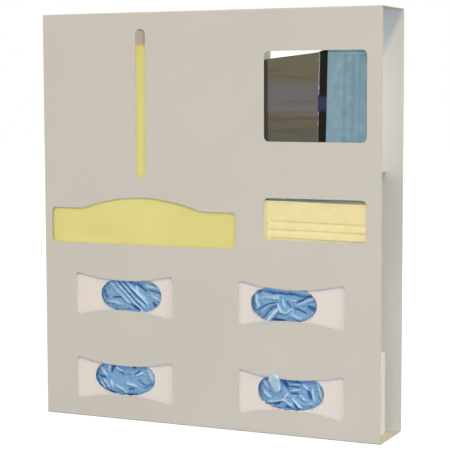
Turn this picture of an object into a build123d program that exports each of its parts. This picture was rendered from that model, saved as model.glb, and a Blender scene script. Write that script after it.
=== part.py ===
from build123d import *
import os
from math import atan2, cos, degrees, radians, sin, sqrt, tan

# A wall dispenser for protective apparel: a shallow cabinet of folded, powder-coated sheet steel.
# It holds a pile of folded gowns, two packs of face masks and four cartons of gloves.
# X runs from left to right, the front faces -Y, the wall is at +Y and Z is up.
# The origin is the middle of the foot of the cabinet. All sizes are in millimetres.

# Cabinet: its width is that of the gown bay and the mask bays, which follow from what they hold
height = 660.0
depth = 101.0
sheet = 1.2
fold_radius = 1.0
top_return = 23.0
bottom_return = 13.0
panel_corner = 3.0

# Wall fixing: keyholes in the back panel, at the pitch of wall studs
keyhole_spacing_x = 406.4
keyhole_spacing_z = 560.0
keyhole_low_z = 48.0
keyhole_entry = 11.0
keyhole_slot = 5.5
keyhole_rise = 12.0

# Shelves and dividers
carton_head_room = {"lower": 8.3, "upper": 12.0}
mask_shelf_rise = 132.3
shelf_setback = 33.0
mask_shelf_setback = 26.7
rear_flange = 14.0
front_flange = 10.0
foot_flange = 10.0
divider_clearance = 0.4

# Windows in the front, and the loading opening in the top over the gowns
window_corner = 8.0
slot_width = 18.0
slot_length = 237.5
slot_low_z = 396.0
gown_window_left = 12.7
gown_window_right = 44.5
gown_window_flat = 57.4
gown_window_lip = 10.5
gown_arch_radius = 305.0
gown_arch_rise = 19.1
gown_arch_blend = 14.0
loading_margin = 15.0
loading_depth = 60.0
mask_window_left = 3.3
mask_window_right = 24.1
mask_window_height = 64.5
mask_window_lip = 27.8
visor_window_height = 138.5
visor_window_lip = 47.0
glove_window_width = 178.2
glove_window_waist = 48.4
glove_window_bow = 330.0
glove_window_corner = 6.0
glove_window_rise = {"lower": 62.9, "upper": 66.7}

# Glove cartons: folded card, with an oval opening torn out of the front
carton_length = 248.0
carton_height = 128.0
carton_depth = 75.0
card = 0.8
carton_gap = 2.2
carton_fold = 1.0
flap_height = 96.0
flap_inset = 3.0
carton_inner_gap = {"lower_right": 25.4, "upper_right": 13.4, "upper_left": 5.4, "lower_left": 17.4}
oval_length = 112.0
oval_height = 59.4
oval_end_radius = 24.0
oval_offset_x = -5.0
oval_rise = 67.5

# Gloves: a pressed pile that bulges out of the oval in long folds
glove_clearance = 0.6
glove_bulge = 0.8
glove_pile_height = 104.0
fold_depth = 3.2
fold_widths = [15.0, 11.0, 18.0, 12.0, 14.0, 10.0, 17.0, 13.0, 14.0]
fold_angle = {"upper_left": -38.0, "lower_left": 24.0, "upper_right": -16.0, "lower_right": 34.0}

# Gowns, folded in layers and stood on edge, and the gap that keeps soft contents off the front
front_gap = 1.4
gown_count = 6
gown_width = 362.0
gown_height = 333.7
gown_back_gap = 6.5
gown_layers = 3
gown_layer_lap = 0.02
gown_edge_radius = 4.5
gown_left_gap = 8.0
gown_right_gap = 19.8
soft_fit = 0.3

# Pleated masks in the lower mask bay
mask_count = 10
mask_length = 175.0
mask_height = 85.4
mask_thickness = 3.4
mask_pitch = 4.0
mask_lean = 1.0
mask_left_gap = 4.4
mask_right_gap = 15.6
mask_top_panel = 30.6
mask_pleat_pitch = 12.8
mask_pleats = 3
pleat_step = 0.9
binding_width = 9.0
binding_rise = 0.3
hem_height = 3.0

# Visor masks in the upper mask bay, stood on end
visor_count = 4
visor_length = 186.0
visor_mask_width = 80.0
visor_top_panel = 25.5
visor_lean = 1.2
visor_gap_x = 8.7
film_width = 80.7
film_thickness = 0.3
film_flare = 4.9
film_slope = 4.1
strip_width = 14.0
strip_thickness = 1.6
strip_drop = 4.1
pad_length = 23.5
pad_rise = 92.6
visor_card_thickness = 0.5
visor_card_head_gap = 35.0
visor_card_width = 150.0
visor_card_gap_x = 7.2

# Widths, heights and planes that the parts share
gown_bay_width = gown_left_gap + gown_width + gown_right_gap + sheet
mask_bay_width = mask_left_gap + mask_length + mask_right_gap
width = gown_bay_width + mask_bay_width
divider_face_x = gown_bay_width - width / 2
gown_window_width = gown_bay_width - gown_window_left - gown_window_right
gown_axis_x = gown_window_left + gown_window_width / 2 - width / 2
mask_window_width = mask_bay_width - mask_window_left - mask_window_right
mask_window_x = divider_face_x + mask_window_left + mask_window_width / 2
loading_length = gown_bay_width - 2 * loading_margin
loading_x = divider_face_x - gown_bay_width / 2
glove_window_x = width / 4
front_y = -depth / 2
back_y = depth / 2
inner_front_y = front_y + sheet
inner_back_y = back_y - sheet
floor_z = sheet
glove_shelf_z = floor_z + carton_height + carton_head_room["lower"]
mid_shelf_z = glove_shelf_z + carton_height + carton_head_room["upper"]
mask_shelf_z = mid_shelf_z + mask_shelf_rise
outer_fold = fold_radius + sheet
divider_reach_y = inner_back_y - outer_fold - divider_clearance
front_plane = Plane(origin=(0, front_y, 0), x_dir=(1, 0, 0), z_dir=(0, -1, 0))
back_plane = Plane(origin=(0, inner_back_y, 0), x_dir=(1, 0, 0), z_dir=(0, -1, 0))


def folded_section(points):
    """Section of a folded sheet, one sheet thick, on the left of its outer line."""
    outer = FilletPolyline(*points, radius=outer_fold)
    return make_face(offset(outer, amount=sheet, side=Side.LEFT).edges())


def along_x(section, x_start, x_end):
    """A Y-Z section drawn out from one X to another."""
    return extrude(Plane.YZ.offset(x_start) * section, amount=x_end - x_start)


def block(x_range, y_range, z_range):
    """A plain block between three pairs of limits."""
    size = [high - low for low, high in (x_range, y_range, z_range)]
    middle = [(high + low) / 2 for low, high in (x_range, y_range, z_range)]
    return Pos(*middle) * Box(*size)


def outline(*edges):
    """A flat face inside a closed chain of edges."""
    return make_face(Curve() + list(edges))


# Front shell: front, top and foot are one sheet, with a return fold for the back panel


def gown_window():
    """Wide opening with a raised arch in the middle of its upper edge."""
    half = gown_window_width / 2
    arch_half = sqrt(gown_arch_radius**2 - (gown_arch_radius - gown_arch_rise) ** 2)
    top = gown_window_flat
    shape = outline(
        Polyline((arch_half, top), (half, top), (half, 0), (-half, 0), (-half, top), (-arch_half, top)),
        ThreePointArc((-arch_half, top), (0, top + gown_arch_rise), (arch_half, top)),
    )
    springers = shape.vertices().sort_by(Axis.X)[2:4]
    shape = fillet(springers, gown_arch_blend)
    corners = shape.vertices().sort_by(Axis.X)
    return fillet(corners[:2] + corners[-2:], window_corner)


def glove_window():
    """Bow-tie window: straight ends, and long edges that bow in towards the waist."""
    half = glove_window_width / 2
    waist = glove_window_waist / 2
    end = waist + glove_window_bow - sqrt(glove_window_bow**2 - half**2)
    shape = outline(
        ThreePointArc((-half, end), (0, waist), (half, end)),
        Line((half, end), (half, -end)),
        ThreePointArc((half, -end), (0, -waist), (-half, -end)),
        Line((-half, -end), (-half, end)),
    )
    return fillet(shape.vertices(), glove_window_corner)


def front_windows():
    """All the openings of the front, drawn on the front plane."""
    slot = Pos(gown_axis_x, slot_low_z + slot_length / 2) * Rot(0, 0, 90) * SlotOverall(slot_length, slot_width)
    gown = Pos(gown_axis_x, mid_shelf_z + gown_window_lip) * gown_window()
    mask_low = mid_shelf_z + mask_window_lip
    mask = RectangleRounded(mask_window_width, mask_window_height, window_corner)
    visor_low = mask_shelf_z + visor_window_lip
    visor = RectangleRounded(mask_window_width, visor_window_height, window_corner)
    openings = [
        slot,
        gown,
        Pos(mask_window_x, mask_low + mask_window_height / 2) * mask,
        Pos(mask_window_x, visor_low + visor_window_height / 2) * visor,
    ]
    for side in (-1, 1):
        for row, bay_floor in (("lower", floor_z), ("upper", glove_shelf_z)):
            place = Pos(side * glove_window_x, bay_floor + glove_window_rise[row])
            openings.append(place * glove_window())
    return openings


def front_shell():
    """Folded front with its top, foot, return folds, windows and loading opening."""
    section = folded_section(
        [
            (inner_back_y, height - top_return),
            (inner_back_y, height),
            (front_y, height),
            (front_y, 0),
            (inner_back_y, 0),
            (inner_back_y, bottom_return),
        ]
    )
    shell = along_x(section, -width / 2, width / 2)
    for opening in front_windows():
        shell -= extrude(front_plane * opening, amount=2 * sheet, both=True)
    loading = Pos(loading_x, 0, height) * RectangleRounded(loading_length, loading_depth, window_corner)
    return shell - extrude(loading, amount=2 * sheet, both=True)


def back_panel():
    """Flat back sheet, spot-welded to the return folds, with four keyholes."""
    blank = Pos(0, height / 2) * RectangleRounded(width, height, panel_corner)
    for side in (-1, 1):
        for entry_z in (keyhole_low_z, keyhole_low_z + keyhole_spacing_z):
            entry = Pos(side * keyhole_spacing_x / 2, entry_z)
            blank -= entry * Circle(keyhole_entry / 2)
            blank -= entry * Pos(0, keyhole_rise / 2) * Rectangle(keyhole_slot, keyhole_rise)
            blank -= entry * Pos(0, keyhole_rise) * Circle(keyhole_slot / 2)
    return extrude(back_plane * blank, amount=-sheet)


# Shelves: folded down at the front and the back, and welded there


def shelf(top_z, x_start, x_end):
    """Shelf with a flange down behind the front and a deeper one down the back panel."""
    section = folded_section(
        [
            (inner_back_y, top_z - rear_flange),
            (inner_back_y, top_z),
            (inner_front_y, top_z),
            (inner_front_y, top_z - front_flange),
        ]
    )
    return along_x(section, x_start, x_end)


def long_shelf(top_z):
    """Shelf across both glove bays, set back from the open ends."""
    return shelf(top_z, -width / 2 + shelf_setback, width / 2 - shelf_setback)


def mask_shelf():
    """Short shelf from the bay divider to near the right end, with an end flange on the divider."""
    plate = shelf(mask_shelf_z, divider_face_x + outer_fold, width / 2 - mask_shelf_setback)
    corner = FilletPolyline(
        (divider_face_x + 2 * outer_fold, mask_shelf_z),
        (divider_face_x, mask_shelf_z),
        (divider_face_x, mask_shelf_z - front_flange),
        radius=outer_fold,
    )
    section = make_face(offset(corner, amount=sheet, side=Side.LEFT).edges())
    return plate + extrude(Plane.XZ * section, amount=divider_reach_y, both=True)


def bay_divider():
    """Upright between the gown bay and the mask bays, with a foot and a head flange."""
    top_z = height - sheet
    section = folded_section(
        [
            (divider_face_x - foot_flange, mid_shelf_z),
            (divider_face_x, mid_shelf_z),
            (divider_face_x, top_z),
            (divider_face_x - foot_flange, top_z),
        ]
    )
    return extrude(Plane.XZ * section, amount=divider_reach_y, both=True)


def glove_divider(base_z, shelf_z):
    """Upright stop between two glove bays, from the sheet below to the shelf above."""
    top_z = shelf_z - sheet - divider_clearance
    section = folded_section(
        [
            (-sheet / 2, top_z),
            (-sheet / 2, base_z),
            (foot_flange, base_z),
        ]
    )
    return extrude(Plane.XZ * section, amount=divider_reach_y, both=True)


# Glove cartons and the gloves in them


def oval(length, tall, end_radius):
    """Oval of four tangent arcs."""
    a = length / 2
    b = tall / 2
    side_radius = ((a - end_radius) ** 2 + b**2 - end_radius**2) / (2 * (b - end_radius))
    half_side = degrees(atan2(a - end_radius, side_radius - b))
    right_side = JernArc((0, -b), (1, 0), side_radius, half_side)
    right_end = JernArc(right_side @ 1, right_side % 1, end_radius, 180 - 2 * half_side)
    top = JernArc(right_end @ 1, right_end % 1, side_radius, 2 * half_side)
    left_end = JernArc(top @ 1, top % 1, end_radius, 180 - 2 * half_side)
    left_side = JernArc(left_end @ 1, left_end % 1, side_radius, half_side)
    return outline(right_side, right_end, top, left_end, left_side)


def carton_place(corner):
    """Middle X and floor Z of the carton in one of the four bays."""
    side = 1 if "right" in corner else -1
    base_z = glove_shelf_z if "upper" in corner else floor_z
    return side * (sheet / 2 + carton_inner_gap[corner] + carton_length / 2), base_z


def glove_carton(corner):
    """Closed card carton with folded edges, end flaps and an oval opening in its front."""
    middle_x, base_z = carton_place(corner)
    carton_front = inner_front_y + carton_gap
    middle = Pos(middle_x, carton_front + carton_depth / 2, base_z + carton_height / 2)
    body_length = carton_length - 2 * card
    body = Box(body_length, carton_depth, carton_height)
    body = fillet(body.edges().filter_by(Axis.X), carton_fold)
    hollow = Box(body_length - 2 * card, carton_depth - 2 * card, carton_height - 2 * card)
    flap = Pos(0, 0, (carton_height - flap_height) / 2 - flap_inset) * Box(
        carton_length, carton_depth - 2 * flap_inset, flap_height
    )
    carton = middle * (body + flap - hollow)
    hole = Pos(middle_x + oval_offset_x, base_z + oval_rise) * oval(oval_length, oval_height, oval_end_radius)
    return carton - extrude(front_plane * hole, amount=-(sheet + carton_gap + 2 * card))


def fold_relief(angle, turn, front):
    """Slab whose front is a row of rounded folds that run across the opening at an angle."""
    widths = fold_widths[turn:] + fold_widths[:turn]
    span = sum(widths)
    at = -span / 2
    arcs = []
    for fold_width in widths:
        crest = (at + fold_width / 2, 0)
        arcs.append(ThreePointArc((at, -fold_depth), crest, (at + fold_width, -fold_depth)))
        at += fold_width
    rear = Polyline((at, -fold_depth), (at, -carton_depth), (-at, -carton_depth), (-at, -fold_depth))
    section = outline(*arcs, rear)
    slab = extrude(Plane.XY * section, amount=span / 2, both=True)
    return Pos(0, front, 0) * Rot(0, angle, 0) * mirror(slab, Plane.XZ)


def glove_pile(corner, turn):
    """Gloves pressed in their carton, bulging through the oval in long folds."""
    middle_x, base_z = carton_place(corner)
    carton_front = inner_front_y + carton_gap
    pad_front = carton_front + card + glove_clearance
    pad_back = carton_front + carton_depth - card - glove_clearance
    half = carton_length / 2 - 2 * card - glove_clearance
    low = base_z + card
    pad = block((middle_x - half, middle_x + half), (pad_front, pad_back), (low, low + glove_pile_height))
    pad = fillet(pad.edges().filter_by(Axis.X), fold_depth)
    nose = oval(oval_length - 2 * glove_clearance, oval_height - 2 * glove_clearance, oval_end_radius)
    opening = Pos(middle_x + oval_offset_x, base_z + oval_rise)
    nose_out = carton_front - glove_bulge
    nose = extrude(front_plane * (opening * nose), amount=-(pad_front + fold_depth - front_y))
    relief = Pos(middle_x + oval_offset_x, 0, base_z + oval_rise) * fold_relief(fold_angle[corner], turn, nose_out)
    return pad + (nose & relief)


# Gowns


def folded_gown(number):
    """One gown folded into a flat pad: rounded at top and foot, with its layers showing at the ends."""
    pitch = (inner_back_y - inner_front_y - front_gap - gown_back_gap) / gown_count
    front = inner_front_y + front_gap + number * pitch
    thickness = pitch - soft_fit
    layer = thickness / gown_layers
    left = -width / 2 + gown_left_gap
    side_view = RectangleRounded(thickness, gown_height, gown_edge_radius)
    side_view = Pos(front + thickness / 2, mid_shelf_z + gown_height / 2) * side_view
    pad = along_x(side_view, left, left + gown_width)
    layers = Sketch()
    for index in range(gown_layers):
        layer_y = front + index * layer + layer / 2
        layers += Pos(left + gown_width / 2, layer_y) * SlotOverall(gown_width, layer + gown_layer_lap)
    return pad & extrude(Pos(0, 0, mid_shelf_z) * layers, amount=gown_height)


# Face masks


def pleated_outline(panel_width, top_panel):
    """Section of a pleated mask from its top edge down: each panel laps over the next."""
    points = [(0, 0), (0, -top_panel)]
    for pleat in range(1, mask_pleats):
        edge = -top_panel - (pleat - 1) * mask_pleat_pitch
        points.append((pleat_step, edge))
        points.append((0, edge - mask_pleat_pitch))
    last = -top_panel - (mask_pleats - 1) * mask_pleat_pitch
    points.append((pleat_step, last))
    points.append((pleat_step / 2, -panel_width))
    points.append((mask_thickness, -panel_width))
    points.append((mask_thickness, 0))
    return Polyline(*points, close=True)


def pleated_mask(panel_length, panel_width, top_panel):
    """Mask with its front at Y 0, its left end at X 0 and its top edge at Z 0."""
    body = along_x(make_face(pleated_outline(panel_width, top_panel)), 0, panel_length)
    front = -binding_rise
    body += block((0, panel_length), (front, pleat_step), (-hem_height, 0))
    for end_x in (0, panel_length - binding_width):
        body += block((end_x, end_x + binding_width), (front, mask_thickness), (-panel_width, 0))
    return body


def lower_mask(number):
    """One of the pleated masks, standing on the middle shelf with its pleats across."""
    front = inner_front_y + front_gap + binding_rise + number * mask_pitch
    lean = mask_lean if number == 0 else 0
    left = divider_face_x + mask_left_gap
    rise = mask_height * cos(radians(lean))
    mask = pleated_mask(mask_length, mask_height, mask_top_panel)
    return Pos(left, front, mid_shelf_z + rise + mask_length * sin(radians(lean))) * Rot(0, lean, 0) * mask


def visor_place(number):
    """Where a visor mask stands: its lower left corner, leaning a little to the right."""
    front = inner_front_y + front_gap + binding_rise + number * mask_pitch
    lift = (film_width + strip_width + visor_mask_width) * sin(radians(visor_lean))
    return Pos(divider_face_x + visor_gap_x, front, mask_shelf_z + lift) * Rot(0, visor_lean, 0)


def visor_mask():
    """The pleated part of a visor mask, stood on end with its top edge to the left."""
    mask = pleated_mask(visor_length, visor_mask_width, visor_top_panel)
    return Pos(film_width + strip_width, 0, 0) * Rot(0, -90, 0) * mask


def visor_strip():
    """Dark glare strip between the mask and its film, with a pad at its middle."""
    right = film_width + strip_width
    shape = Polyline(
        (film_width, 0),
        (right, 0),
        (right, visor_length),
        (film_width, visor_length - strip_drop),
        close=True,
    )
    strip = extrude(Plane.XZ * make_face(shape), amount=-strip_thickness)
    pad = block((film_width, right), (0, strip_thickness), (pad_rise, pad_rise + pad_length))
    return Pos(0, pleat_step, 0) * strip + pad


def visor_film():
    """Clear film of a visor mask, joined to the strip along its right edge."""
    top = visor_length - strip_drop
    shape = Polyline(
        (0, 0),
        (film_width, 0),
        (film_width, top),
        (-film_flare, top - (film_width + film_flare) * tan(radians(film_slope))),
        close=True,
    )
    return Pos(0, pleat_step, 0) * extrude(Plane.XZ * make_face(shape), amount=-film_thickness)


def visor_card():
    """White card that stands behind the visor masks."""
    left = divider_face_x + visor_card_gap_x
    front = inner_front_y + front_gap + visor_count * mask_pitch
    return block(
        (left, left + visor_card_width),
        (front, front + visor_card_thickness),
        (mask_shelf_z, height - sheet - visor_card_head_gap),
    )


nodes = {
    "front_shell": front_shell(),
    "back_panel": back_panel(),
    "glove_shelf": long_shelf(glove_shelf_z),
    "middle_shelf": long_shelf(mid_shelf_z),
    "mask_shelf": mask_shelf(),
    "bay_divider": bay_divider(),
    "glove_divider_lower": glove_divider(floor_z, glove_shelf_z),
    "glove_divider_upper": glove_divider(glove_shelf_z, mid_shelf_z),
    "visor_card": visor_card(),
}
for turn, corner in enumerate(carton_inner_gap):
    nodes["glove_carton_" + corner] = glove_carton(corner)
    nodes["gloves_" + corner] = glove_pile(corner, 2 * turn)
for number in range(gown_count):
    nodes["gown_" + str(number + 1)] = folded_gown(number)
for number in range(mask_count):
    nodes["pleated_mask_" + str(number + 1)] = lower_mask(number)
for number in range(visor_count):
    place = visor_place(number)
    nodes["visor_mask_" + str(number + 1)] = place * visor_mask()
    nodes["visor_strip_" + str(number + 1)] = place * visor_strip()
    nodes["visor_film_" + str(number + 1)] = place * visor_film()

os.makedirs("parts", exist_ok=True)
for name, shape in nodes.items():
    export_step(shape, "parts/" + name + ".step")
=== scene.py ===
import math
import random

import bmesh
import bpy
from mathutils import Matrix, Vector, noise


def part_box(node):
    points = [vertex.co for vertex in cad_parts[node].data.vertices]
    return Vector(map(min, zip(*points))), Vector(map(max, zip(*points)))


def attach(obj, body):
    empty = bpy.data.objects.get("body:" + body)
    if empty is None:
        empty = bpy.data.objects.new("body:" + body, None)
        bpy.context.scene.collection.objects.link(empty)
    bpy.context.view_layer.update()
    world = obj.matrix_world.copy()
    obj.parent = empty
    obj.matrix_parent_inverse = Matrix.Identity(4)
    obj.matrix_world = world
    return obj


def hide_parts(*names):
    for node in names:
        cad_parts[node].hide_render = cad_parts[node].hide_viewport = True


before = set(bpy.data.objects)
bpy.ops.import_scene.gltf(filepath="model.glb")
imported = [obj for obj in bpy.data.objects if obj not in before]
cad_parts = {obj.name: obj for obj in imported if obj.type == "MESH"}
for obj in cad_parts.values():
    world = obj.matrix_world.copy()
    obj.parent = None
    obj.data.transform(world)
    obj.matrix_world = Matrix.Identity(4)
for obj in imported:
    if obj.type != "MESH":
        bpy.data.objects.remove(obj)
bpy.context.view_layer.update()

# The picture: a product photograph, taken 25 degrees to the right of the front and a little from above,
# with a small cool flash beside the lens, a soft warm lamp high on the right and a wide soft one far
# out on the right. The ground and the backdrop are plain white.
lens_angle = math.radians(17.084)
camera_place = Matrix.Translation((1.0209, -2.1699, 0.5301))
camera_turn = Matrix.Rotation(math.radians(24.944), 4, "Z")
camera_tip = Matrix.Rotation(math.radians(90 - 5.0), 4, "X")
camera_roll = Matrix.Rotation(math.radians(-0.170), 4, "Z")
camera_data = bpy.data.cameras.new("camera")
camera_data.sensor_fit = "AUTO"
camera_data.angle = lens_angle
camera = bpy.data.objects.new("camera", camera_data)
camera.matrix_world = camera_place @ camera_turn @ camera_tip @ camera_roll
bpy.context.collection.objects.link(camera)
bpy.context.scene.camera = camera
bpy.context.scene.view_settings.view_transform = "Standard"
cabinet_middle = Vector((0, 0, 0.33))


def lamp(name, size, strength, place, colour):
    """Round soft lamp that looks at the cabinet's middle and lights near and far alike."""
    data = bpy.data.lights.new(name, "AREA")
    data.shape = "DISK"
    data.size = size
    data.energy = strength
    data.color = colour
    data.use_nodes = True
    even = data.node_tree.nodes.new("ShaderNodeLightFalloff")
    even.inputs["Strength"].default_value = 1
    glowing = data.node_tree.nodes["Emission"]
    data.node_tree.links.new(even.outputs["Constant"], glowing.inputs["Strength"])
    made = bpy.data.objects.new(name, data)
    made.location = place
    made.rotation_euler = (cabinet_middle - Vector(place)).to_track_quat("-Z", "Y").to_euler()
    bpy.context.collection.objects.link(made)


lamp("flash", 0.06, 4.7, (1.094, -2.17, 0.572), (0.290, 0.482, 0.941))
lamp("key", 0.9, 5.6, (1.81, -3.29, 3.62), (0.673, 0.523, 0.294))
lamp("side", 2.0, 5.4, (4.0, -1.0, 1.0), (0.361, 0.526, 0.490))

world = bpy.data.worlds.new("white_room")
bpy.context.scene.world = world
world.use_nodes = True
nodes = world.node_tree.nodes
links = world.node_tree.links
nodes.clear()
room = nodes.new("ShaderNodeBackground")
room.inputs["Color"].default_value = (0.956, 0.815, 0.622, 1)
room.inputs["Strength"].default_value = 0.63
backdrop = nodes.new("ShaderNodeBackground")
backdrop.inputs["Color"].default_value = (1, 1, 1, 1)
backdrop.inputs["Strength"].default_value = 1
path = nodes.new("ShaderNodeLightPath")
seen = path.outputs["Is Camera Ray"]
for ray in ("Is Glossy Ray", "Is Transmission Ray"):
    either = nodes.new("ShaderNodeMath")
    either.operation = "MAXIMUM"
    links.new(seen, either.inputs[0])
    links.new(path.outputs[ray], either.inputs[1])
    seen = either.outputs[0]
both = nodes.new("ShaderNodeMixShader")
links.new(seen, both.inputs["Fac"])
links.new(room.outputs[0], both.inputs[1])
links.new(backdrop.outputs[0], both.inputs[2])
out = nodes.new("ShaderNodeOutputWorld")
links.new(both.outputs[0], out.inputs["Surface"])

# The floor: a wide sweep of white paper that the cabinet stands on, half a millimetre under its foot.
# It looks white to the camera and keeps the soft shadow round the foot.
sweep_reach = 12
sweep_drop = 0.0005
floor_mesh = bpy.data.meshes.new("floor")
bm = bmesh.new()
bmesh.ops.create_grid(bm, x_segments=2, y_segments=2, size=sweep_reach)
bmesh.ops.translate(bm, verts=bm.verts, vec=(0, 0, -sweep_drop))
bm.to_mesh(floor_mesh)
bm.free()
floor = bpy.data.objects.new("floor", floor_mesh)
bpy.context.collection.objects.link(floor)
paper = bpy.data.materials.new("white_paper")
paper.use_nodes = True
nodes = paper.node_tree.nodes
links = paper.node_tree.links
matt = nodes["Principled BSDF"]
matt.inputs["Base Color"].default_value = (0.5, 0.5, 0.5, 1)
matt.inputs["Roughness"].default_value = 1
matt.inputs["Specular IOR Level"].default_value = 0
glow = nodes.new("ShaderNodeEmission")
glow.inputs["Color"].default_value = (0.95, 0.98, 1, 1)
glow.inputs["Strength"].default_value = 0.82
path = nodes.new("ShaderNodeLightPath")
lit = nodes.new("ShaderNodeMixShader")
added = nodes.new("ShaderNodeAddShader")
links.new(matt.outputs[0], added.inputs[0])
links.new(glow.outputs[0], added.inputs[1])
links.new(path.outputs["Is Camera Ray"], lit.inputs["Fac"])
links.new(matt.outputs[0], lit.inputs[1])
links.new(added.outputs[0], lit.inputs[2])
links.new(lit.outputs[0], nodes["Material Output"].inputs["Surface"])
floor_mesh.materials.append(paper)

# The cabinet: sheet steel, cut, folded and spot-welded, then powder-coated all over in beige. The
# front, the top and the foot are one sheet. The back panel, the shelves and the dividers are welded in.
cabinet_parts = ("front_shell", "back_panel", "glove_shelf", "middle_shelf", "mask_shelf", "bay_divider",
                 "glove_divider_lower", "glove_divider_upper")


def finish(name, colour, roughness, specular):
    """New material with one surface shader, and its node tree."""
    made = bpy.data.materials.new(name)
    made.use_nodes = True
    tree = made.node_tree
    shader = tree.nodes["Principled BSDF"]
    shader.inputs["Base Color"].default_value = (*colour, 1)
    shader.inputs["Roughness"].default_value = roughness
    shader.inputs["Specular IOR Level"].default_value = specular
    made.diffuse_color = (*colour, 1)
    return made, shader, tree


def colour_mix(tree, kind):
    """Colour mixer at full strength: its factor, its two colours and its result."""
    mixer = tree.nodes.new("ShaderNodeMix")
    mixer.data_type = "RGBA"
    mixer.blend_type = kind
    mixer.inputs[0].default_value = 1
    return mixer.inputs[0], mixer.inputs[6], mixer.inputs[7], mixer.outputs[2]


def grain_group():
    """Node group: fine noise on the piece, as a height and as a colour from dark to light."""
    group = bpy.data.node_groups.new("grain", "ShaderNodeTree")
    for name in ("Scale", "Detail", "Roughness", "Low", "High"):
        group.interface.new_socket(name, in_out="INPUT", socket_type="NodeSocketFloat")
    for name in ("Dark", "Light"):
        group.interface.new_socket(name, in_out="INPUT", socket_type="NodeSocketColor")
    group.interface.new_socket("Color", in_out="OUTPUT", socket_type="NodeSocketColor")
    group.interface.new_socket("Height", in_out="OUTPUT", socket_type="NodeSocketFloat")
    given = group.nodes.new("NodeGroupInput").outputs
    where = group.nodes.new("ShaderNodeTexCoord")
    speckle = group.nodes.new("ShaderNodeTexNoise")
    share = group.nodes.new("ShaderNodeMapRange")
    factor, dark, light, tint = colour_mix(group, "MIX")
    result = group.nodes.new("NodeGroupOutput").inputs
    group.links.new(where.outputs["Object"], speckle.inputs["Vector"])
    for name in ("Scale", "Detail", "Roughness"):
        group.links.new(given[name], speckle.inputs[name])
    group.links.new(speckle.outputs["Fac"], share.inputs["Value"])
    group.links.new(given["Low"], share.inputs["From Min"])
    group.links.new(given["High"], share.inputs["From Max"])
    group.links.new(share.outputs["Result"], factor)
    group.links.new(given["Dark"], dark)
    group.links.new(given["Light"], light)
    group.links.new(tint, result["Color"])
    group.links.new(speckle.outputs["Fac"], result["Height"])
    return group


grain = grain_group()


def grained(tree, scale, detail, roughness=0.5, low=0.3, high=0.7, dark=(0, 0, 0), light=(1, 1, 1)):
    """The grain group placed in a material with its own values: its colour and its height."""
    placed = tree.nodes.new("ShaderNodeGroup")
    placed.node_tree = grain
    values = {"Scale": scale, "Detail": detail, "Roughness": roughness, "Low": low, "High": high,
              "Dark": (*dark, 1), "Light": (*light, 1)}
    for name, value in values.items():
        placed.inputs[name].default_value = value
    return placed.outputs["Color"], placed.outputs["Height"]


def bumped(tree, shader, height, strength, distance):
    """Relief from a height, put into the shader's normal."""
    bump = tree.nodes.new("ShaderNodeBump")
    bump.inputs["Strength"].default_value = strength
    bump.inputs["Distance"].default_value = distance
    tree.links.new(height, bump.inputs["Height"])
    tree.links.new(bump.outputs["Normal"], shader.inputs["Normal"])


def dress(names, material):
    """Material put all over parts that keep the shape they have in the frame."""
    for name in names:
        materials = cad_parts[name].data.materials
        materials.clear()
        materials.append(material)


powder_coat, shader, tree = finish("powder_coat", (0.61, 0.578, 0.503), 0.5, 0.4)
clouds, _ = grained(tree, 7, 3, dark=(0.598, 0.567, 0.492), light=(0.622, 0.589, 0.514))
gloss, peel = grained(tree, 620, 2, 0.6, 0.35, 0.65, (0.46, 0.46, 0.46), (0.56, 0.56, 0.56))
tree.links.new(clouds, shader.inputs["Base Color"])
tree.links.new(gloss, shader.inputs["Roughness"])
bumped(tree, shader, peel, 0.25, 0.0003)
dress(cabinet_parts, powder_coat)

# Spot welds: shallow round marks, about 5 mm across, where the back panel is joined to the return
# folds of the top and the foot. The powder coat covers them.
weld_radius = 0.0024
weld_slope = 0.0008
weld_relief = 0.0003
weld_rows = (0.0064, 0.6476)
welds_in_row = 12
first_weld = -0.2785
row_length = 0.557
return_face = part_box("back_panel")[0][1] - 0.0012


def piece(name, bm, material, stands_for=None, smooth=True):
    """Finished mesh piece in the object's frame, which rides with the cabinet."""
    mesh = bpy.data.meshes.new(name)
    bm.to_mesh(mesh)
    bm.free()
    mesh.materials.append(material)
    if smooth:
        mesh.shade_smooth()
    made = bpy.data.objects.new(name, mesh)
    bpy.context.collection.objects.link(made)
    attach(made, "root")
    if stands_for:
        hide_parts(stands_for)
    return made


upright = Matrix.Rotation(math.radians(90), 4, "X")
bm = bmesh.new()
for weld_z in weld_rows:
    for step in range(welds_in_row):
        weld_x = first_weld + step * row_length / (welds_in_row - 1)
        place = Matrix.Translation((weld_x, return_face, weld_z)) @ upright
        disc = bmesh.ops.create_circle(bm, segments=16, radius=weld_radius, cap_ends=True, matrix=place)
        top = [face for face in bm.faces if all(vert in disc["verts"] for vert in face.verts)]
        bmesh.ops.inset_individual(bm, faces=top, thickness=weld_slope, depth=weld_relief)
piece("weld_marks", bm, powder_coat)

# Glove cartons: white-lined card, cream outside, folded up and glued. The perforated oval has been
# torn out by hand, which leaves a thin rim of torn white fibres.
oval_left = 0.005
oval_up = 0.0675
oval_half_width = 0.056
oval_half_height = 0.0297
oval_power = 2 / 2.25
rim_points = 240
rim_lap = 0.0006
rim_lift = 0.00005
card_thickness = 0.0005
card_cream, shader, tree = finish("carton_card", (0.79, 0.73, 0.655), 0.75, 0.3)
tint, fibre = grained(tree, 260, 6, 0.65, dark=(0.77, 0.71, 0.635), light=(0.81, 0.75, 0.675))
tree.links.new(tint, shader.inputs["Base Color"])
bumped(tree, shader, fibre, 0.15, 0.0003)
torn_card, shader, tree = finish("torn_card", (0.9, 0.87, 0.82), 0.95, 0.1)
_, fibre = grained(tree, 900, 5, 0.7)
bumped(tree, shader, fibre, 0.5, 0.0004)
corners = ("lower_right", "upper_right", "upper_left", "lower_left")
dress(["glove_carton_" + corner for corner in corners], card_cream)
oval_middle = {}
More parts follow.
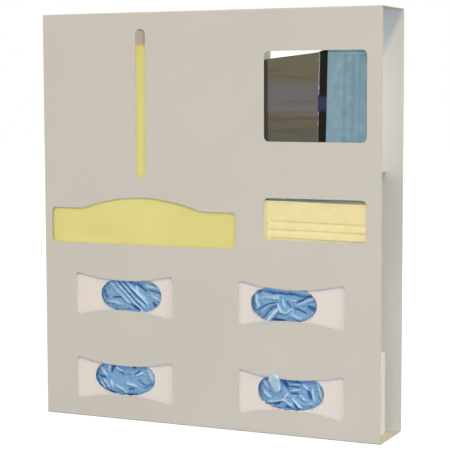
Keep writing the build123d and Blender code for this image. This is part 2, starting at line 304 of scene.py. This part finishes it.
for corner in corners:
    low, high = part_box("glove_carton_" + corner)
    oval_middle[corner] = Vector(((low[0] + high[0]) / 2 - oval_left, low[1], low[2] + oval_up))


def oval_point(angle, grow):
    """Point of the oval opening in X and Z, from its middle, at a turn from +X."""
    c = math.cos(angle)
    s = math.sin(angle)
    return Vector((math.copysign(abs(c) ** oval_power, c) * (oval_half_width + grow), 0,
                   math.copysign(abs(s) ** oval_power, s) * (oval_half_height + grow)))


for corner in corners:
    random.seed(len(corner) * 7 + ord(corner[0]))
    middle = oval_middle[corner]
    bm = bmesh.new()
    for vert in bmesh.ops.create_circle(bm, segments=rim_points, radius=1)["verts"]:
        angle = math.atan2(vert.co.y, vert.co.x)
        vert.co = middle + oval_point(angle, rim_lap) + Vector((0, rim_lift, 0))
    rim = bmesh.ops.extrude_edge_only(bm, edges=bm.edges[:])
    torn = [item for item in rim["geom"] if isinstance(item, bmesh.types.BMVert)]
    for index, vert in enumerate(torn):
        angle = math.atan2(vert.co.z - middle.z, vert.co.x - middle.x)
        shortest, spread = (0.0009, 0.0006) if index % 4 < 2 else (0.0002, 0.0003)
        reach = shortest + spread * random.random()
        curl = 0.0001 + 0.0003 * random.random()
        vert.co = middle + oval_point(angle, -reach) + Vector((0, curl, 0))
    bmesh.ops.recalc_face_normals(bm, faces=bm.faces)
    rim_piece = piece("torn_rim_" + corner, bm, torn_card)
    wall = rim_piece.modifiers.new("card", "SOLIDIFY")
    wall.thickness = card_thickness
    wall.offset = -1

# Gloves: thin blue nitrile gloves, pressed into the carton in a crumpled heap. Cuffs and fingers lie
# across each other behind the oval. Their colour carries painted light and shade by the fold's height:
# pale painted light on the ridges, painted shade in the hollows and on the block behind. The folds'
# waver is seeded, so that each heap comes out the same in every run.
waver_seed = 5
heap_width = 0.124
heap_height = 0.072
heap_columns = 170
heap_rows = 96
heap_sink = 0.0075
heap_gap = 0.0002
heap_level = 0.45
heap_rim = 0.006
highest = 1.15
fold_waver = 0.0022
crumple = 0.13
block_depth = 0.016
block_clear = 0.001
block_edge = 0.006
block_painted_shade = 0.3


def banded(tree, value, *stops):
    """Colours at rising values, each blended into the next."""
    ramp = tree.nodes.new("ShaderNodeValToRGB")
    painted_shade_and_reflection = ramp.color_ramp.elements
    painted_shade_and_reflection[0].position = stops[0][0]
    painted_shade_and_reflection[1].position = stops[-1][0]
    for position, _ in stops[1:-1]:
        painted_shade_and_reflection.new(position)
    for band, (_, colour) in zip(painted_shade_and_reflection, stops):
        band.color = (*colour, 1)
    tree.links.new(value, ramp.inputs["Fac"])
    return ramp.outputs["Color"]


nitrile, shader, tree = finish("nitrile", (0.16, 0.33, 0.54), 0.4, 0.5)
_, blotch = grained(tree, 90, 4)
# Painted light and shade: the mesh's fold value lightens the ridges and darkens the hollows.
fold_shading_value = tree.nodes.new("ShaderNodeAttribute")
fold_shading_value.attribute_name = "painted_fold_shading"
fold_shading_and_blotch = tree.nodes.new("ShaderNodeMath")
fold_shading_and_blotch.operation = "MULTIPLY_ADD"
fold_shading_and_blotch.inputs[1].default_value = 0.24
tree.links.new(blotch, fold_shading_and_blotch.inputs[0])
tree.links.new(fold_shading_value.outputs["Fac"], fold_shading_and_blotch.inputs[2])
tint = banded(tree, fold_shading_and_blotch.outputs[0], (0.12, (0.035, 0.13, 0.37)), (0.55, (0.20, 0.40, 0.60)),
              (1.0, (0.50, 0.66, 0.76)))
tree.links.new(tint, shader.inputs["Base Color"])
_, skin = grained(tree, 420, 4)
bumped(tree, shader, skin, 0.3, 0.0004)

# Each fold: two ends in millimetres from the oval's middle, half its width, and its height, which is
# below nothing for a hollow.
folds = {
    "upper_left": (
        (-35, 27, 17, -24, 2.6, 0.5), (-26, 28, 22, -20, 2.2, 0.45), (-16, 28, 28, -15, 2.4, 0.5),
        (-45, 22, 2, -20, 3.0, 0.35), (-31, 27, 19, -22, 1.2, -0.5), (-21, 27, 25, -17, 1.2, -0.45),
        (-3, 29, -1, 20, 2.6, -0.8), (4, 27, 10, 8, 2.6, 0.4), (6, 9, 20, -4, 3.4, 0.7),
        (4, 20, 26, 7, 3.0, -0.7), (14, 24, 46, 22, 4.5, 0.35), (26, 16, 54, 10, 4.5, 0.4),
        (30, 9, 56, 2, 1.6, -0.5), (34, -1, 54, -8, 3.5, 0.35), (-4, -15, 12, -25, 4.0, -0.6),
        (-48, -12, -18, -17, 3.5, 0.3), (-36, -7, -20, -6, 2.2, -0.6), (38, -13, 46, -19, 3.4, -0.8),
        (12, -26, 30, -29, 3.0, 0.6), (-54, 4, -50, -6, 3.0, -0.5), (-42, -24, -22, -29, 3.0, -0.4)),
    "lower_left": (
        (-23, 30, -33, 10, 4.0, 0.7), (-17, 28, -28, 6, 2.4, -0.9), (-40, 22, -33, 28, 2.4, -0.4),
        (-16, 17, -9, 9, 3.0, 0.7), (-13, 6, -6, 3, 2.0, -0.5), (-48, 12, -38, 2, 4.0, 0.35),
        (-52, -2, -40, -3, 1.8, -0.6), (-49, -10, -38, -22, 1.8, 0.5), (-43, -6, -30, -20, 1.8, 0.5),
        (-46, -9, -34, -21, 1.2, -0.5), (-30, -4, -24, -18, 2.6, 0.4), (-34, -26, -22, -28, 3.0, -0.6),
        (-22, -14, 0, -26, 3.0, 0.3), (18, 4, 30, 10, 3.4, 0.55), (15, 5, 26, 13, 1.2, -0.6),
        (22, -3, 34, -12, 1.4, -0.6), (40, 20, 50, -4, 8.0, 0.35), (10, 20, 16, 17, 2.4, -0.7),
        (14, 22, 30, 20, 4.0, 0.35), (0, -10, 20, -14, 4.0, 0.45), (4, -20, 14, -19, 2.6, -0.4),
        (2, -28, 26, -30, 3.0, -0.8), (30, -18, 50, -8, 5.0, -0.25)),
    "upper_right": (
        (-33, 26, 46, 19, 5.0, 0.55), (-36, 19, 44, 12, 2.2, -0.45), (-45, 24, -40, 18, 2.6, -0.7),
        (-50, 12, -46, -8, 5.0, 0.4), (-40, 8, -12, 13, 4.0, 0.3), (-50, -12, -14, 3, 2.0, -0.5),
        (-42, -17, -14, 2, 2.6, 0.4), (-36, -24, -18, -6, 2.0, -0.4), (-20, 9, -10, 10, 3.0, 0.5),
        (-12, 1, -7, -11, 2.6, 0.7), (-7, -11, 4, -14, 2.6, 0.7), (4, -14, 11, -7, 2.6, 0.7),
        (-3, 8, -1, -4, 3.4, 0.4), (2, 6, 9, -4, 1.8, -0.5), (10, 4, 18, 6, 2.4, 0.5),
        (-15, -2, -13, -10, 2.0, -0.9), (20, 3, 50, 19, 1.8, -0.7), (19, -2, 52, 12, 4.5, 0.5),
        (15, -6, 36, -14, 2.4, -0.5), (38, -3, 53, -8, 4.6, -0.9), (10, -18, 30, -22, 5.0, 0.25),
        (-20, -26, 0, -27, 4.0, -0.5)),
    "lower_right": (
        (-17, 26, -8, 2, 5.0, -0.7), (-4, 19, 15, 20, 2.2, 0.55), (-4, 15, 16, 15, 1.4, -0.5),
        (-4, 10, 16, 12, 2.2, 0.55), (-4, 6, 14, 7, 1.4, -0.5), (-3, 1, 13, 3, 2.2, 0.55),
        (-3, -3, 10, -3, 1.6, -0.6), (20, 14, 26, 6, 3.6, 0.45), (28, 24, 44, 22, 5.0, -0.35),
        (27, 2, 31, -9, 3.2, -0.7), (34, 6, 37, -12, 3.4, 0.5), (45, 14, 51, -9, 4.2, 0.55),
        (-48, 14, -40, 4, 4.0, 0.35), (-50, -2, -38, -11, 3.6, 0.4), (-38, 12, -30, 4, 2.0, -0.6),
        (-15, -14, -42, -20, 3.2, 0.5), (-14, -14, -8, -4, 3.2, 0.5), (-14, -15, 3, -23, 3.4, 0.55),
        (-30, -22, -20, -19, 2.4, -0.6), (-12, -26, -4, -25, 3.0, -0.5), (1, -10, 17, -25, 2.0, 0.8),
        (5, -18, 12, -26, 2.4, -0.9), (14, -6, 24, -12, 4.0, 0.35), (20, -20, 36, -16, 3.0, 0.3)),
}


def fold_height(flat, fold):
    """How much one fold lifts or lowers the heap at a point of its face, as a share of its sink."""
    x0, z0, x1, z1, half_width, height = fold
    run = Vector((x1 - x0, z1 - z0))
    spot = Vector((flat.x * 1000 - x0, flat.z * 1000 - z0))
    share = max(0.0, min(1.0, spot.dot(run) / run.length_squared))
    away = (spot - run * share).length / half_width
    ends = 1 - 0.5 * abs(share * 2 - 1) ** 4
    if away < 1:
        return height * ends * (1 - away * away) ** 2
    return 0.0


def soft_block(bm, middle, size, edge, segments):
    """Block with rounded edges, added to a mesh in the making."""
    place = Matrix.Translation(middle) @ Matrix.Diagonal((*size, 1))
    fresh = set(bmesh.ops.create_cube(bm, size=1, matrix=place)["verts"])
    edges = [item for item in bm.edges if item.verts[0] in fresh]
    bmesh.ops.bevel(bm, geom=edges, offset=edge, segments=segments, profile=0.5, affect="EDGES",
                    material=-1)


noise.seed_set(waver_seed)
for corner in corners:
    low, high = (Vector(end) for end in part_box("gloves_" + corner))
    front = low.y + block_depth
    back = high.y - block_clear
    bm = bmesh.new()
    painted_fold_shading = bm.verts.layers.float.new("painted_fold_shading")
    soft_block(bm, ((low.x + high.x) / 2, (front + back) / 2, (low.z + high.z) / 2),
               (high.x - low.x - 2 * block_clear, back - front, high.z - low.z - 2 * block_clear),
               block_edge, 3)
    # The block behind the heap gets a low fold value: painted shade.
    for vert in bm.verts:
        vert[painted_fold_shading] = block_painted_shade
    face = bmesh.ops.create_grid(bm, x_segments=heap_columns, y_segments=heap_rows, size=0.5)["verts"]
    for vert in face:
        flat = Vector((vert.co.x * heap_width, 0, vert.co.y * heap_height))
        bent = flat + noise.noise_vector(flat * 60 + Vector((0, ord(corner[0]), 0))) * fold_waver
        relief = heap_level + sum(fold_height(bent, fold) for fold in folds[corner])
        relief += crumple * (1 - abs(noise.noise(bent * 150 + Vector((0, len(corner), 3)))) * 2)
        relief = max(0.0, min(highest, relief))
        out = min(1, (abs(flat.x) / (heap_width / 2)) ** 6 + (abs(flat.z) / (heap_height / 2)) ** 6)
        vert.co = oval_middle[corner] + flat
        vert.co.y = low.y + heap_gap + (highest - relief) * heap_sink + out * heap_rim
        # Painted light on the ridges and painted shade in the hollows, from the fold's height.
        vert[painted_fold_shading] = relief * 0.8
    bmesh.ops.recalc_face_normals(bm, faces=bm.faces)
    piece("glove_heap_" + corner, bm, nitrile, "gloves_" + corner)


def limp_finger(name, start, end, width, thickness):
    """Flat, slack end of a glove that pokes out of the heap, from one point to another."""
    bm = bmesh.new()
    painted_fold_shading = bm.verts.layers.float.new("painted_fold_shading")
    bmesh.ops.create_uvsphere(bm, u_segments=40, v_segments=28, radius=0.5)
    run = end - start
    across = Vector((0, 1, 0)).cross(run).normalized()
    turned = Matrix((across, run.cross(across).normalized(), run.normalized())).transposed()
    for vert in bm.verts:
        unit = vert.co.copy()
        crease = noise.noise(unit * 4 + Vector((len(name), 0, 0)))
        side = math.copysign(abs(unit.x * 2) ** 0.8 / 2, unit.x)
        along = math.copysign(abs(unit.z * 2) ** 0.8 / 2, unit.z)
        shaped = Vector((side * width * (1 - 0.25 * along), unit.y * thickness, along * run.length))
        shaped.y += crease * thickness * 0.5
        vert.co = (start + end) / 2 + turned @ shaped
        # Painted light: the finger that pokes out is pale, with a little painted shade along its creases.
        vert[painted_fold_shading] = 0.78 + 0.3 * crease
    bmesh.ops.recalc_face_normals(bm, faces=bm.faces)
    piece(name, bm, nitrile)


middle = oval_middle["upper_right"]
limp_finger("glove_finger_upper_right", middle + Vector((-0.009, 0.0015, -0.006)),
            middle + Vector((-0.029, -0.0052, -0.0305)), 0.0062, 0.0032)
middle = oval_middle["lower_right"]
limp_finger("glove_cuff_lower_right", middle + Vector((-0.0275, -0.0056, 0.0265)),
            middle + Vector((-0.0225, -0.0018, -0.0020)), 0.0180, 0.0042)

# Gowns: yellow non-woven cloth, each folded to and fro into a flat pack and stood on edge. Six packs
# stand behind each other, and the front one shows in the slot and the arched window.
gown_count = 6
plies = 12
ply_thickness = 0.0006
pressed = 0.97
gown_foot = 0.001
long_wave = 0.0011
short_wave = 0.0005
loose_edge = 0.02
loose_top = 0.05
lean_from = 0.583
lean_run = 0.028
lean_depth = 0.004
hollow_x = -0.198
hollow_z = 0.300
hollow_half_width = 0.04
hollow_half_height = 0.012
hollow_depth = 0.0028


def soft_cloth(name, colour, blotch_scale, blotch_detail, dark, light, fibre_scale):
    """Non-woven cloth: a faintly blotched colour and a fine relief of fibres."""
    made, shader, tree = finish(name, colour, 0.8, 0.2)
    tint, _ = grained(tree, blotch_scale, blotch_detail, dark=dark, light=light)
    tree.links.new(tint, shader.inputs["Base Color"])
    _, fibres = grained(tree, fibre_scale, 5, 0.7)
    bumped(tree, shader, fibres, 0.25, 0.0003)
    return made, shader


gown_cloth, shader = soft_cloth("gown_cloth", (0.76, 0.70, 0.245), 9, 2, (0.735, 0.68, 0.225),
                                (0.785, 0.725, 0.265), 900)
shader.inputs["Sheen Weight"].default_value = 0.15


def pulled(bm, geom, step, count):
    """Vertices and edges drawn out along a step, count times; returns the last ones."""
    for _ in range(count):
        if isinstance(geom[0], bmesh.types.BMVert):
            geom = bmesh.ops.extrude_vert_indiv(bm, verts=geom)["verts"]
            bmesh.ops.translate(bm, verts=geom, vec=step)
        else:
            made = bmesh.ops.extrude_edge_only(bm, edges=geom)["geom"]
            verts = [item for item in made if isinstance(item, bmesh.types.BMVert)]
            bmesh.ops.translate(bm, verts=verts, vec=step)
            fresh = set(verts)
            geom = [item for item in made if isinstance(item, bmesh.types.BMEdge)
                    and item.verts[0] in fresh and item.verts[1] in fresh]
    return geom


for number in range(gown_count):
    low, high = (Vector(end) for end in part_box("gown_" + str(number + 1)))
    columns, rows = (44, 40) if number == 0 else (20, 18)
    pitch = (high.y - low.y - ply_thickness) / (plies - 1) * pressed
    bend = pitch / 2
    run = high.x - low.x - 2 * bend - ply_thickness
    bm = bmesh.new()
    start = Vector((low.x + bend + ply_thickness / 2, low.y + ply_thickness / 2, low.z + gown_foot))
    tip_vert = bmesh.ops.create_vert(bm, co=start)["vert"]
    for ply in range(plies):
        way = 1 if ply % 2 == 0 else -1
        tip_vert = pulled(bm, tip_vert, Vector((way * run / columns, 0, 0)), columns)
        if ply < plies - 1:
            centre = tip_vert[0].co + Vector((0, bend, 0))
            round_end = bmesh.ops.spin(bm, geom=tip_vert, cent=centre, axis=(0, 0, way), dvec=(0, 0, 0),
                                       angle=math.pi, steps=4)
            tip_vert = [item for item in round_end["geom_last"] if isinstance(item, bmesh.types.BMVert)]
    pulled(bm, bm.edges[:], Vector((0, 0, (high.z - low.z - 2 * gown_foot) / rows)), rows)
    for vert in bm.verts:
        flat = Vector((vert.co.x, 0, vert.co.z))
        slant = Vector((flat.x * 14 + flat.z * 9, 0, flat.z * 16 - flat.x * 6))
        wave = noise.noise(slant) * long_wave + noise.noise(slant * 2.3 + Vector((4, 0, 2))) * short_wave
        near_edge = 1 - min(1, min(vert.co.x - low.x, high.x - vert.co.x) / loose_edge)
        depth_in = (vert.co.y - low.y) / pitch
        vert.co.y += 0.0006 + wave * 0.6 + 0.0006 * near_edge
        if number == 0:
            front_share = max(0, 1 - (vert.co.y - low.y) / (high.y - low.y))
            lean_back = max(0, min(1, (vert.co.z - lean_from) / lean_run)) * lean_depth
            beside = (vert.co.x - hollow_x) / hollow_half_width
            above = (vert.co.z - hollow_z) / hollow_half_height
            hollow = math.exp(-beside ** 2 - above ** 2) * hollow_depth
            vert.co.y += (lean_back + hollow) * front_share
        near_top = max(0, (vert.co.z - high.z + loose_top) / loose_top)
        sag = noise.noise(Vector((vert.co.x * 18, depth_in * 1.7, number)))
        vert.co.z -= near_top * (0.0015 + 0.0015 * sag)
        curl = noise.noise(Vector((vert.co.z * 12, depth_in * 1.3, number * 2)))
        vert.co.x += near_edge * 0.0015 * curl
    bmesh.ops.recalc_face_normals(bm, faces=bm.faces)
    gown = piece("folded_gown_" + str(number + 1), bm, gown_cloth, "gown_" + str(number + 1))
    wall = gown.modifiers.new("cloth", "SOLIDIFY")
    wall.thickness = ply_thickness
    wall.offset = 0

# Face masks: three-ply non-woven cloth with three pleats, a bound strip welded over each end and a
# narrow hem along the top that holds the nose wire. Ten stand behind each other in the low window.
mask_count = 10
mask_length = 0.175
mask_width = 0.0854
mask_top_panel = 0.0306
mask_columns = 36
mask_gap = 0.0003
front_lean = math.radians(1.0)
pleat_pitch = 0.0128
pleat_lap = 0.0075
cloth_thickness = 0.0004
ripple = 0.00022
binding_width = 0.009
binding_depth = 0.0035
weld_points = 13
weld_point_radius = 0.0009


def mask_cloth_of(name, light, dark):
    """Soft mask cloth with a faint bonded grain, in one colour family."""
    made, _ = soft_cloth(name, light, 70, 3, dark, light, 1100)
    return made


yellow_cloth = mask_cloth_of("yellow_mask_cloth", (0.90, 0.80, 0.41), (0.85, 0.75, 0.355))
blue_cloth = mask_cloth_of("blue_mask_cloth", (0.25, 0.385, 0.43), (0.19, 0.325, 0.38))


def pleated_body(length, width, top_panel):
    """Mask laid with its front at Y 0, left end at X 0 and top edge at Z 0, and its flat cut."""
    points = [(0.0004, 0), (0, -0.002), (0, -top_panel + 0.001), (0.0002, -top_panel)]
    for pleat in range(3):
        edge = -top_panel - pleat * pleat_pitch
        below = edge - pleat_pitch if pleat < 2 else -width
        points += [(0.0010, edge + 0.0006), (0.0015, edge + pleat_lap), (0.0018, edge + pleat_lap + 0.0003),
                   (0.0021, edge + pleat_lap - 0.0004), (0.0016, edge + 0.001), (0.0014, edge - 0.0022),
                   (0.0004, (edge + below) / 2), (0.0001, below + 0.001), (0.0003, below)]
    bm = bmesh.new()
    verts = bmesh.ops.create_vert(bm, co=(0, *points[0]))["vert"]
    cut = 0.0
    for before, after in zip(points, points[1:]):
        verts = pulled(bm, verts, Vector((0, after[0] - before[0], after[1] - before[1])), 1)
        cut += math.dist(before, after)
    pulled(bm, bm.edges[:], Vector((length / mask_columns, 0, 0)), mask_columns)
    for vert in bm.verts:
        vert.co.y += ripple * noise.noise(Vector((vert.co.x * 60, cut * 31, vert.co.z * 60)))
    bmesh.ops.recalc_face_normals(bm, faces=bm.faces)
    bmesh.ops.solidify(bm, geom=bm.faces[:], thickness=cloth_thickness)
    return bm, cut


def end_binding(bm, length, width):
    """Bound strips over both ends, with a row of weld points along each."""
    for middle_x in (binding_width / 2, length - binding_width / 2):
        soft_block(bm, (middle_x, 0.00155, -width / 2), (binding_width, binding_depth, width), 0.0006, 2)
        for row in range(weld_points):
            spot = Matrix.Translation((middle_x, -0.0002, -width * (row + 0.5) / weld_points))
            bmesh.ops.create_circle(bm, segments=8, radius=weld_point_radius, cap_ends=True,
                                    matrix=spot @ upright)


for number in range(mask_count):
    low = Vector(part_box("pleated_mask_" + str(number + 1))[0])
    lean = front_lean if number == 0 else 0
    bm, cut = pleated_body(mask_length, mask_width, mask_top_panel)
    soft_block(bm, (mask_length / 2, 0.0004, -0.0016), (mask_length, 0.0014, 0.0030), 0.0005, 2)
    end_binding(bm, mask_length, mask_width)
    top = low.z + mask_width * math.cos(lean) + mask_length * math.sin(lean)
    place = Matrix.Translation((low.x, low.y + mask_gap, top)) @ Matrix.Rotation(lean, 4, "Y")
    bmesh.ops.transform(bm, matrix=place, verts=bm.verts)
    bmesh.ops.recalc_face_normals(bm, faces=bm.faces)
    mask = piece("pleated_face_mask_" + str(number + 1), bm, yellow_cloth,
                 "pleated_mask_" + str(number + 1), smooth=False)

# Visor masks: the same pleated mask in blue, stood on end, with a glare strip painted near-black for
# shade and its pad along the top edge and a clear wrap-round film beyond. Four stand behind each other,
# with a white card.
visor_count = 4
visor_length = 0.186
visor_width = 0.080
visor_top_panel = 0.0255
film_and_strip = 0.0947
visor_foot = 0.4098
visor_lean = math.radians(1.2)
visor_lift = (film_and_strip + visor_width) * math.sin(visor_lean)
leaning = Matrix.Rotation(visor_lean, 4, "Y")
stood = Matrix.Translation((film_and_strip, 0, 0)) @ Matrix.Rotation(math.radians(-90), 4, "Y")
for number in range(visor_count):
    low = Vector(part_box("visor_mask_" + str(number + 1))[0])
    bm, cut = pleated_body(visor_length, visor_width, visor_top_panel)
    end_binding(bm, visor_length, visor_width)
    place = Matrix.Translation((low.x - film_and_strip * math.cos(visor_lean), low.y + mask_gap,
                                visor_foot + visor_lift))
    bmesh.ops.transform(bm, matrix=place @ leaning @ stood, verts=bm.verts)
    bmesh.ops.recalc_face_normals(bm, faces=bm.faces)
    mask = piece("visor_face_mask_" + str(number + 1), bm, blue_cloth,
                 "visor_mask_" + str(number + 1), smooth=False)

# Films: the visors' wrap-round shields, cut from thin clear plastic sheet with a sloping top edge and
# tucked under the glare strips. Their brown colour is painted shade, for the dark bay seen through the
# clear film; the paler band across them is a painted reflection and the dark left edge is painted shade.
# Those at the back reach a little further left.
film_width = 0.0807
film_top = 0.1809
film_foot = 0.0004
film_left = 0.1067
film_slope = math.tan(math.radians(7.4))
film_thickness = 0.0003
film_wave = 0.0004
tucked = 0.0015
# The brown base colour is painted shade, for the dark bay behind the clear film.
film_clear, shader, tree = finish("clear_film", (0.12, 0.10, 0.056), 0.16, 0.5)


def own_place(tree):
    """Where a point lies on the object, as one vector and as its X, Y and Z."""
    where = tree.nodes.new("ShaderNodeTexCoord").outputs["Object"]
    axes = tree.nodes.new("ShaderNodeSeparateXYZ")
    tree.links.new(where, axes.inputs["Vector"])
    return where, axes.outputs


where, axes = own_place(tree)
slanted = tree.nodes.new("ShaderNodeMapping")
slanted.inputs["Rotation"].default_value = (0, math.radians(14), 0)
slanted.inputs["Scale"].default_value = (9, 1, 55)
tree.links.new(where, slanted.inputs["Vector"])
wrinkle = tree.nodes.new("ShaderNodeTexNoise")
wrinkle.inputs["Scale"].default_value = 1
wrinkle.inputs["Detail"].default_value = 3
tree.links.new(slanted.outputs["Vector"], wrinkle.inputs["Vector"])
painted_reflection_height = tree.nodes.new("ShaderNodeMath")
painted_reflection_height.operation = "MULTIPLY_ADD"
painted_reflection_height.inputs[1].default_value = 0.045
tree.links.new(wrinkle.outputs["Fac"], painted_reflection_height.inputs[0])
tree.links.new(axes["Z"], painted_reflection_height.inputs[2])
# Painted shade and reflection: dark brown for the shaded bay seen through the film, with a paler painted
# reflection band across it.
painted_shade_and_reflection = banded(tree, painted_reflection_height.outputs[0], (0.47, (0.10, 0.088, 0.060)), (0.495, (0.10, 0.092, 0.072)),
               (0.512, (0.112, 0.086, 0.046)), (0.53, (0.13, 0.115, 0.104)), (0.555, (0.13, 0.117, 0.118)),
               (0.57, (0.122, 0.102, 0.058)), (0.62, (0.120, 0.100, 0.054)))
# Painted shade along the films' left edge, standing in for the shaded divider face beside them.
painted_shade_edge = banded(tree, axes["X"], (0.1050, (0.048, 0.056, 0.064)), (0.1058, (1, 1, 1)))
_, first, second, darker = colour_mix(tree, "DARKEN")
tree.links.new(painted_shade_and_reflection, first)
tree.links.new(painted_shade_edge, second)
tree.links.new(darker, shader.inputs["Base Color"])
bumped(tree, shader, wrinkle.outputs["Fac"], 0.5, 0.002)
for number in range(visor_count):
    low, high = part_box("visor_film_" + str(number + 1))
    foot_flare, head_flare = (0, 0.0049) if number == 0 else (0.0078, 0.0115)
    bm = bmesh.new()
    for vert in bmesh.ops.create_grid(bm, x_segments=40, y_segments=80, size=0.5)["verts"]:
        share_x = vert.co.x + 0.5
        share_z = vert.co.y + 0.5
        flare = foot_flare + (head_flare - foot_flare) * share_z
        across = film_width + tucked - (1 - share_x) * (film_width + tucked + flare)
        edge_top = film_top - (film_width - across) * film_slope
        wave = noise.noise(Vector((across * 30, number * 5, share_z * 7 + across * 12)))
        vert.co = Vector((across, film_wave * wave * (1 - share_x),
                          film_foot + share_z * (edge_top - film_foot)))
    bmesh.ops.recalc_face_normals(bm, faces=bm.faces)
    bmesh.ops.solidify(bm, geom=bm.faces[:], thickness=film_thickness)
    place = Matrix.Translation((film_left, (low[1] + high[1]) / 2, visor_foot + visor_lift)) @ leaning
    bmesh.ops.transform(bm, matrix=place, verts=bm.verts)
    bmesh.ops.recalc_face_normals(bm, faces=bm.faces)
    piece("wrap_film_" + str(number + 1), bm, film_clear, "visor_film_" + str(number + 1))

# Glare strips: ribbed strips welded along the masks' top edges, which hold the films. Their near-black
# colour is painted shade, for the dark gap between the films and the masks. A navy foam pad shows
# across the front one, half way up.
strip_painted_shade, shader, tree = finish("glare_strip", (0.012, 0.011, 0.009), 0.7, 0.1)
where, axes = own_place(tree)
ribs = tree.nodes.new("ShaderNodeTexWave")
ribs.inputs["Scale"].default_value = 160
ribs.inputs["Distortion"].default_value = 1.5
ribs.inputs["Detail"].default_value = 2
tree.links.new(where, ribs.inputs["Vector"])
# Painted shade: near-black, with a faint ribbed variation.
ribbed_painted_shade = banded(tree, ribs.outputs["Fac"], (0.2, (0.006, 0.005, 0.004)), (0.8, (0.018, 0.016, 0.012)))
navy = (0.030, 0.030, 0.080)
pad_colour = banded(tree, axes["Z"], (0.5035, (0, 0, 0)), (0.5045, navy), (0.5265, navy),
                    (0.5275, (0, 0, 0)))
_, first, second, summed = colour_mix(tree, "ADD")
tree.links.new(ribbed_painted_shade, first)
tree.links.new(pad_colour, second)
tree.links.new(summed, shader.inputs["Base Color"])
bumped(tree, shader, ribs.outputs["Fac"], 0.3, 0.0003)
dress(["visor_strip_" + str(number + 1) for number in range(visor_count)], strip_painted_shade)

# White card: a plain sheet of board, stood behind the visor masks. It is the brightest thing in the
# bay, and a painted glow stands in for the light that makes it so; the lamps' light adds to it.
white_card_painted_glow, shader, tree = finish("white_card", (0.95, 0.95, 0.94), 0.7, 0.2)
tint, _ = grained(tree, 300, 5, dark=(0.93, 0.93, 0.92), light=(0.96, 0.96, 0.95))
tree.links.new(tint, shader.inputs["Base Color"])
# Painted light: a glow that stands in for light falling on the card.
shader.inputs["Emission Color"].default_value = (1, 1, 0.98, 1)
shader.inputs["Emission Strength"].default_value = 0.75
dress(["visor_card"], white_card_painted_glow)
